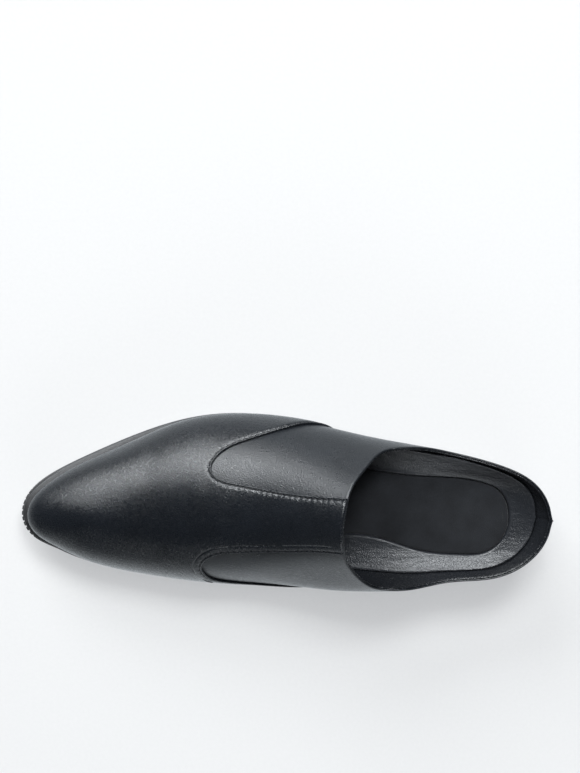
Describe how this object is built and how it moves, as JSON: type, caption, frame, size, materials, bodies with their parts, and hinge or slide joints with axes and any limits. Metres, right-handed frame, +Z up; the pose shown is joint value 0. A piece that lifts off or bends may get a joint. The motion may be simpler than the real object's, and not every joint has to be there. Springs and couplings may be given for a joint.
{
  "type": "backless loafer",
  "caption": "Right-foot backless loafer: closed almond toe, laid-on vamp, low collar rim round an open heel, welted sole with a low block heel.",
  "frame": {"origin": "on the floor, at the middle of the shoe's length and width", "axes": "+X towards the toe, +Y towards the inner (medial) side of the foot, +Z up"},
  "size_m": [0.2959, 0.0984, 0.089],
  "materials": {
    "quarter_leather": "smooth black calf, soft sheen",
    "vamp_leather": "smooth black calf, soft sheen",
    "footbed_leather": "black lining leather, fine grain",
    "sock_suede": "matte black nap",
    "sole_edge": "dressed black edge",
    "outsole_rubber": "matte black",
    "heel_stack": "dressed black stack",
    "top_piece_rubber": "matte black"
  },
  "bodies": {
    "root": {"upper": "quarter_leather", "vamp": "vamp_leather", "insole": "footbed_leather", "sock": "sock_suede", "welt": "sole_edge", "outsole": "outsole_rubber", "heel_block": "heel_stack", "heel_top_piece": "top_piece_rubber"}
  },
  "joints": []
}
